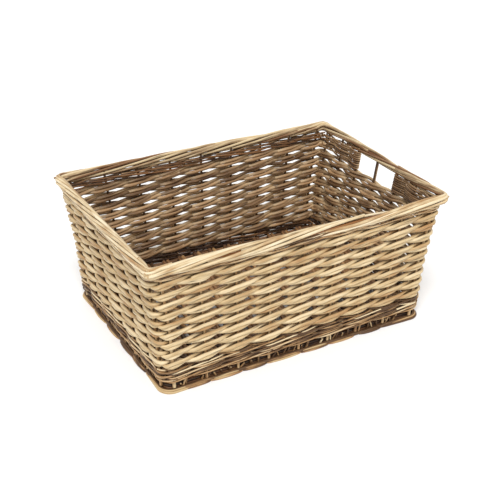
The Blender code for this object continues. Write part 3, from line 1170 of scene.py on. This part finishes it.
def foot_strokes(first, last, thick, rng):
    """The rods that bulge out under one bay, or round a corner and the bays beside it."""
    s = steps(first + rng.uniform(-0.1, 0.12), last - rng.uniform(-0.1, 0.12), STRAND_STEPS)
    arc = np.sin(math.pi * (s - s[0]) / (s[-1] - s[0])).clip(0, 1)
    corner = last > first + 1
    rods = []
    for away, height, share in FOOT_STROKES:
        radii = share * thick / 2 * (0.55 + 0.45 * arc**0.5) * rng.uniform(0.85, 1.1)
        off = thick * (away + 0.22 + 0.43 * arc**0.6) + waves(s, rng, *WAVES["foot"])
        z = radii + CLEAR + height * thick * arc**0.5
        tone = rng.normal(*TONES["foot corners" if corner else "foot"])
        stroke = rod(s, off, z, radii, ROD_SIDE, tone, rng, level=FOOT)
        # Painted shade: the stroke's ends, which pass behind the stakes, count as lying deep
        # inside and are darkened; its bulging middle is not, and a corner stroke less so.
        rods.append(stroke._replace(place=arc * 1.9 - 1.3 + 0.4 * corner))
    return rods


class HAMPER_OT_base(bpy.types.Operator):
    """Weave the bars of the base over and under its sticks"""

    bl_idname = "hamper.base"
    bl_label = "Base"

    def execute(self, context):
        sizes = context.scene.hamper_sizes
        rng = np.random.default_rng(SEEDS["base"])
        names = sorted(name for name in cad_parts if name.startswith("base_stick_"))
        boxes = [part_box(name) for name in names]
        places = np.array([(low.y + high.y) / 2 for low, high in boxes])
        level = (boxes[0][0].z + boxes[0][1].z) / 2 + BASE_LIFT
        clear = sizes.stake_rod / 2 + 4 * CLEAR
        line = wall(np.array(WALL_MIDDLES[:2], float), np.array([level, level]))[0]
        half_width, half_length = -line[0][1] - clear, line[1][0] - clear
        sticks = []
        for y in places:
            x = np.linspace(-half_length, half_length, STICK_STEPS)
            z = level + base_crown(x, y, half_length, half_width)
            points = np.column_stack([x, np.full_like(x, y), z])
            radii = np.full_like(x, sizes.stick / 2)
            sticks.append(flat_rod(points, radii, rng.normal(*TONES["sticks"]), rng))
        add_rods("base_sticks", sticks, "base", names)
        bars = base_bars(places, level, half_length, half_width, sizes, rng)
        for lane in EDGE_LANES:
            bars += lane_rods(lane, sizes.foot_rod, rng)
        add_rods("base_bars", bars, "base", ["base_weaver"])
        return {"FINISHED"}


def base_crown(x, y, half_length, half_width):
    """Rise of the base from its edges, as it is woven with a slight crown."""
    inside = np.minimum(half_length - np.abs(x), half_width - np.abs(y))
    return BASE_CROWN * smooth(inside / CROWN_EDGE)


def flat_rod(points, radii, tone, rng):
    """A rod of the base, which takes its tones from the side that faces up: the upper side
    gets the outer colours, the under side the inner ones, which are partly painted shade.
    """
    outs = np.tile(UP, (len(points), 1))
    return Rod(points, radii, outs, np.full(len(points), 0.4), tone, rng.uniform(0, 9))


def base_bars(places, level, half_length, half_width, sizes, rng):
    """Pairs of rods that go to and fro across the base and turn back at its edges. A pair
    makes two to four bars."""
    pitch = 2 * half_length / BASE_BARS
    thick = sizes.bar_rod
    lift = sizes.stick / 2 + thick / 2 + CLEAR
    spacing = places[1] - places[0]
    edge = half_width - thick - pitch / 2
    turn = np.linspace(0, math.pi, TURN_STEPS)[1:-1]
    flat = np.zeros_like(turn)
    rods = []
    at = 0
    while at < BASE_BARS:
        bars = min(int(rng.integers(2, 5)), BASE_BARS - at)
        points, ways = [], []
        for index in range(at, at + bars):
            x = (index + 0.5) * pitch - half_length
            way = 1 if index % 2 else -1
            y = np.linspace(-edge, edge, BAR_STEPS) * way
            z = lift * np.cos(math.pi * ((y - places[0]) / spacing + index))
            outside = np.abs(y) > places[-1]
            z = np.where(outside, z * np.maximum(0, 1 - (np.abs(y) - places[-1]) / 0.012), z)
            z += base_crown(x, y, half_length, half_width)
            points.append(np.column_stack([np.full_like(y, x), y, z]))
            ways.append(np.tile((way, 0.0, 0.0), (len(y), 1)))
            if index < at + bars - 1:
                bend_x = x + pitch / 2 * (1 - np.cos(turn))
                bend_y = way * (edge + pitch / 2 * np.sin(turn))
                points.append(np.column_stack([bend_x, bend_y, flat]))
                ways.append(np.column_stack([way * np.cos(turn), -np.sin(turn), flat]))
        line = np.concatenate(points)
        line[:, 2] += level
        side = np.concatenate(ways)
        for shift in (0.5, -0.5):
            radii = np.full(len(line), thick / 2) * taper(np.arange(len(line)), *TAPERS["bars"])
            moved = line + side * shift * thick * 1.02
            rods.append(flat_rod(moved, radii, rng.normal(*TONES["bars"]), rng))
        at += bars
    return rods


class HAMPER_OT_studio(bpy.types.Operator):
    """Set up the white floor, the soft light and the camera"""

    bl_idname = "hamper.studio"
    bl_label = "Studio"

    def execute(self, context):
        scene = context.scene
        settings = scene.hamper_studio
        bm = bmesh.new()
        bmesh.ops.create_grid(bm, x_segments=1, y_segments=1, size=settings.floor / 2)
        mesh = bpy.data.meshes.new("floor")
        bm.to_mesh(mesh)
        bm.free()
        floor = bpy.data.objects.new("floor", mesh)
        scene.collection.objects.link(floor)
        mesh.materials.append(floor_paint(settings))
        light_studio(scene, settings)
        place_camera(scene, settings)
        scene.view_settings.view_transform = "Standard"
        return {"FINISHED"}


def floor_paint(settings):
    """Matt white paint with faint clouds."""
    wires = Wiring("studio_floor")
    place = wires.add("ShaderNodeTexCoord").outputs["Object"]
    specks = wires.noise(place, (3, 3, 3))
    white = (*settings.floor_white, 1.0)
    grey = (*[part * 0.995 for part in settings.floor_white], 1.0)
    wires.feed(wires.shader.inputs["Base Color"], wires.mix(specks, grey, white))
    wires.shader.inputs["Roughness"].default_value = 0.9
    wires.shader.inputs["Specular IOR Level"].default_value = 0.0
    return wires.material


def white_light(tree, strength):
    """A background node that gives off white light."""
    node = tree.nodes.new("ShaderNodeBackground")
    node.inputs["Color"].default_value = (1, 1, 1, 1)
    node.inputs["Strength"].default_value = strength
    return node


def light_studio(scene, settings):
    """Soft light from all round and a soft sun. The camera and gloss see plain white."""
    world = bpy.data.worlds.new("studio")
    scene.world = world
    world.use_nodes = True
    tree = world.node_tree
    tree.nodes.clear()
    output = tree.nodes.new("ShaderNodeOutputWorld")
    lit, seen = white_light(tree, settings.sky), white_light(tree, 1.0)
    path = tree.nodes.new("ShaderNodeLightPath")
    mix = tree.nodes.new("ShaderNodeMixShader")
    white = path.outputs["Is Camera Ray"]
    for kind in ("Is Glossy Ray", "Is Transmission Ray"):
        either = tree.nodes.new("ShaderNodeMath")
        either.operation = "MAXIMUM"
        tree.links.new(white, either.inputs[0])
        tree.links.new(path.outputs[kind], either.inputs[1])
        white = either.outputs[0]
    tree.links.new(white, mix.inputs[0])
    tree.links.new(lit.outputs[0], mix.inputs[1])
    tree.links.new(seen.outputs[0], mix.inputs[2])
    tree.links.new(mix.outputs[0], output.inputs[0])
    lamp = bpy.data.lights.new("key", "SUN")
    lamp.energy = settings.key
    lamp.angle = KEY_SOFTNESS
    key = bpy.data.objects.new("key", lamp)
    key.rotation_euler = KEY_TILT
    scene.collection.objects.link(key)


def place_camera(scene, settings):
    """Camera of the photograph, found from the rim, the base and the stakes."""
    a, e, roll = settings.azimuth, settings.elevation, settings.roll
    back = Vector((math.sin(a) * math.cos(e), -math.cos(a) * math.cos(e), math.sin(e)))
    level = Vector((math.cos(a), math.sin(a), 0))
    upright = back.cross(level)
    right = level * math.cos(roll) + upright * math.sin(roll)
    above = upright * math.cos(roll) - level * math.sin(roll)
    lens = bpy.data.cameras.new("camera")
    lens.lens = settings.lens
    lens.sensor_width = 36.0
    lens.clip_end = 50
    camera = bpy.data.objects.new("camera", lens)
    scene.collection.objects.link(camera)
    spot = Vector((0, 0, settings.target)) + back * settings.distance
    spot += right * settings.aside - above * settings.below
    turn = Matrix((right, above, back)).transposed()
    camera.matrix_world = Matrix.Translation(spot) @ turn.to_4x4()
    scene.camera = camera


class HAMPER_PT_pieces(bpy.types.Panel):
    """Pieces of the hamper, in the order in which they are made"""

    bl_label = "Willow hamper"
    bl_idname = "HAMPER_PT_pieces"
    bl_space_type = "VIEW_3D"
    bl_region_type = "UI"
    bl_category = "Hamper"

    def draw(self, context):
        for group in ("hamper_sizes", "hamper_colours", "hamper_studio"):
            settings = getattr(context.scene, group)
            box = self.layout.box()
            for name in settings.__annotations__:
                box.prop(settings, name)
        for operator in OPERATORS:
            self.layout.operator(operator.bl_idname)


OPERATORS = (
    HAMPER_OT_foot,
    HAMPER_OT_base,
    HAMPER_OT_stakes,
    HAMPER_OT_upsett,
    HAMPER_OT_siding,
    HAMPER_OT_top_wale,
    HAMPER_OT_hole_bundles,
    HAMPER_OT_border,
    HAMPER_OT_studio,
)
GROUPS = (
    ("hamper_sizes", HamperSizes),
    ("hamper_colours", HamperColours),
    ("hamper_studio", StudioSettings),
)


def register():
    for name, group in GROUPS:
        bpy.utils.register_class(group)
        setattr(bpy.types.Scene, name, bpy.props.PointerProperty(type=group))
    for item in (*OPERATORS, HAMPER_PT_pieces):
        bpy.utils.register_class(item)


def unregister():
    for item in reversed((*OPERATORS, HAMPER_PT_pieces)):
        bpy.utils.unregister_class(item)
    for name, group in reversed(GROUPS):
        delattr(bpy.types.Scene, name)
        bpy.utils.unregister_class(group)


def main():
    """Makes every piece and the studio."""
    register()
    bpy.ops.hamper.foot()
    bpy.ops.hamper.base()
    bpy.ops.hamper.stakes()
    bpy.ops.hamper.upsett()
    bpy.ops.hamper.siding()
    bpy.ops.hamper.top_wale()
    bpy.ops.hamper.hole_bundles()
    bpy.ops.hamper.border()
    bpy.ops.hamper.studio()


if __name__ == "__main__":
    main()
